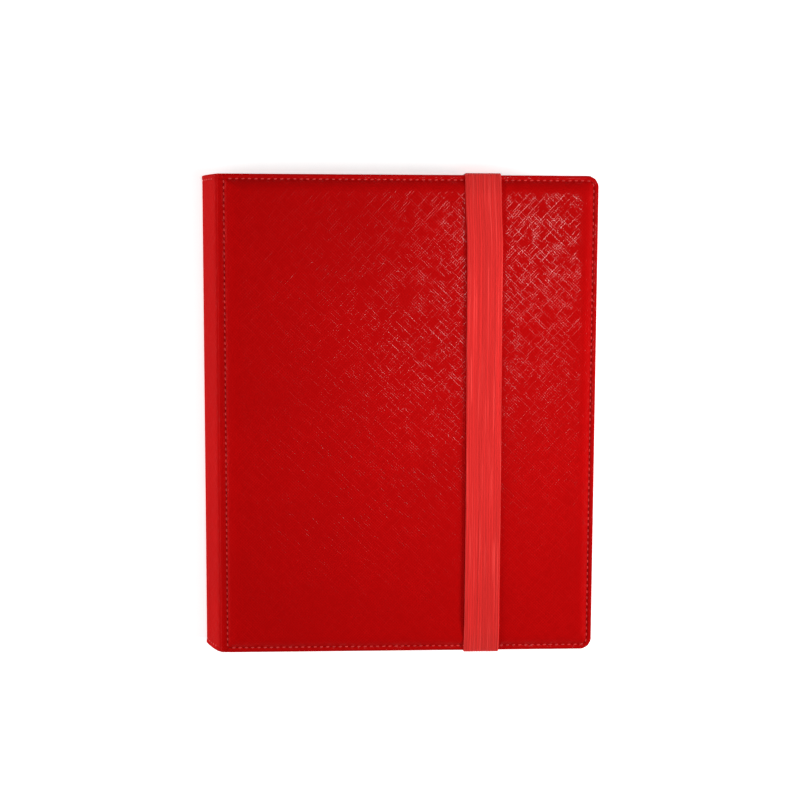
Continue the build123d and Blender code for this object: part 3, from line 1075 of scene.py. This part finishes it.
def pocket_lift(values, low, high, opening):
    """0 on a weld and 1 over a pocket, along one direction; opening is the first weld's slope."""
    size = (high - low) / POCKETS
    place = (np.array(values) - low) % size
    place[-1] = size
    return step(place, WELD, opening) * smooth((size - WELD - place) / WELD_SLOPE)


def make_pockets(body):
    """Both pocket films of a page, each welded round nine pockets that open towards the spine."""
    node = body.replace("page", "pockets")
    low, high = node_box(node)
    page_low, page_high = node_box(body)
    middle = (page_low[2] + page_high[2]) / 2
    xs, ys = pocket_lines(low[0], high[0]), pocket_lines(low[1], high[1])
    lift_x = pocket_lift(xs, low[0], high[0], OPEN_SLOPE)
    lift = np.outer(lift_x, pocket_lift(ys, low[1], high[1], WELD_SLOPE))
    height = LEAF_T / 2 + FILM_GAP + POCKET_LIFT * lift
    points, faces = [], []
    for face in (1, -1):
        faces += grid_faces(len(xs), len(ys), flip=face < 0, start=len(points))
        points += [(x, y, middle + face * height[i, j]) for i, x in enumerate(xs) for j, y in enumerate(ys)]
    piece = make_mesh(f"{node}_film", points, faces, CLEAR_FILM)
    pillow = piece.data.attributes.new("pillow", "FLOAT", "POINT")
    pillow.data.foreach_set("value", np.tile(lift.ravel(), 2).astype(np.float32))
    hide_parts(node)
    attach(piece, body)


# -------- CAD nodes that stay as they are
CAD_MATERIALS = {
    "back_board": GREYBOARD,
    "back_foam": FOAM,
    "front_board": GREYBOARD,
    "front_foam": FOAM,
    "spine_board": GREYBOARD,
    "binding_spacers": BLACK_CARD,
    "binding_thread": BLACK_THREAD,
    "page_tabs": PAGE_SHEET,
    "strap_tails": RED_ELASTIC,
}


def dress_frame():
    """Gives the CAD nodes their materials."""
    for node, material in CAD_MATERIALS.items():
        mesh = frame["nodes"][node].data
        mesh.materials.clear()
        mesh.materials.append(material)


# -------- stage, light and camera (in m)
CAMERA_PLACE = (-0.0492, 0.1099, 1.0151)
CAMERA_TILT = (math.radians(-5.712), math.radians(-2.878), math.radians(-0.085))
CAMERA_LENS = 63.0
SENSOR_WIDTH = 36.0
FLOOR_SIZE = 20.0  # half the floor's width
FLOOR_Z = -0.0002
LIGHT_Z = 1.5  # height of the three lights that the grain reflects


def make_camera():
    data = bpy.data.cameras.new("camera")
    data.lens = CAMERA_LENS
    data.sensor_width = SENSOR_WIDTH
    camera = add_object("camera", data)
    tilt = Matrix.Identity(4)
    for angle, axis in zip(CAMERA_TILT, "XYZ"):
        tilt = tilt @ Matrix.Rotation(angle, 4, axis)
    camera.matrix_world = Matrix.Translation(CAMERA_PLACE) @ tilt
    bpy.context.scene.camera = camera


def make_floor():
    """A pale floor that glows, a little less near the binder, so that it stays white under soft light."""
    n = material_nodes("pale_floor")
    far = n.node("ShaderNodeVectorMath", {"Vector": n.spot()}, operation="LENGTH").outputs["Value"]
    pale = n.mix(n.noise(n.spot(), 3.0), (0.94, 0.94, 0.94, 1), (0.96, 0.96, 0.96, 1))
    glow = n.ramp(far, 0.25, 1.4, 0.62, 0.90)
    n.finish(Base_Color=pale, Roughness=0.8, Emission_Color=(1, 1, 1, 1), Emission_Strength=glow)
    corners = [(x * FLOOR_SIZE, y * FLOOR_SIZE, FLOOR_Z) for x, y in ((-1, -1), (1, -1), (1, 1), (-1, 1))]
    mesh = bpy.data.meshes.new("floor")
    mesh.from_pydata(corners, [], [(0, 1, 2, 3)])
    mesh.materials.append(n.owner)
    floor = add_object("floor", mesh)
    floor.visible_glossy = False


def make_world():
    """A studio that is bright only round the horizon, and dark overhead and below."""
    n = Nodes(bpy.data.worlds.new("studio"), "Background")
    sky = n.node("ShaderNodeTexCoord").outputs["Generated"]
    height = n.node("ShaderNodeSeparateXYZ", {"Vector": sky}).outputs["Z"]
    overhead = n.ramp(height, 0.05, 0.25, 0.90, 0.03)
    below = n.ramp(height, -0.10, -0.03, 0.02, 1.0)
    n.finish(Color=(1, 1, 1, 1), Strength=n.math("MULTIPLY", overhead, below))
    bpy.context.scene.world = n.owner


def softbox(name, place, target, size, radiance, glossy=False):
    """A soft rectangular light of a given radiance; glossy makes it show in reflections."""
    data = bpy.data.lights.new(name, "AREA")
    data.shape = "RECTANGLE"
    data.size, data.size_y = size
    data.energy = radiance * math.pi * size[0] * size[1]
    light = add_object(name, data)
    light.visible_glossy = glossy
    light.visible_camera = False
    direction = Vector(target) - Vector(place)
    light.rotation_mode = "QUATERNION"
    light.rotation_quaternion = direction.to_track_quat("-Z", "Y")
    light.location = place


def sparkle_light(name, x, y, size, radiance):
    """A light that points straight down, and whose reflection makes the grain sparkle."""
    softbox(name, (x, y, LIGHT_Z), (x, y, 0), size, radiance, glossy=True)


def make_lights():
    softbox("key", (1.30, -0.20, 0.85), (0, 0, 0), (0.6, 0.6), 15.5)
    softbox("fill", (-1.30, -0.10, 0.32), (0, 0, 0), (1.0, 0.4), 11)
    softbox("overhead", (0.10, 0.04, 0.34), (0.07, 0.03, 0), (0.16, 0.16), 5.2)
    sparkle_light("upper", 0.32, 0.165, (0.22, 0.09), 34)
    sparkle_light("middle", 0.33, 0.065, (0.16, 0.09), 9)
    sparkle_light("lower", 0.227, -0.111, (0.30, 0.02), 26)
    bpy.context.scene.view_settings.view_transform = "Standard"
    bpy.context.scene.view_settings.look = "None"


make_camera()
make_skin("front_cover_skin", FRONT_SIDE, "front_skin")
back_skin = make_skin("back_cover_skin", BACK_SIDE, "back_skin")
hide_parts("spine_skin")
make_lining("front_cover_lining", FRONT_SIDE, ("front_lining",))
make_lining("back_cover_lining", BACK_SIDE, ("back_lining", "spine_lining"))
make_seams("front", FRONT_SIDE)
make_seams("back", BACK_SIDE)
make_spine_stitches()
make_strap()
for page_body in PAGES:
    make_page(page_body)
    make_pockets(page_body)
dress_frame()
make_floor()
make_world()
make_lights()
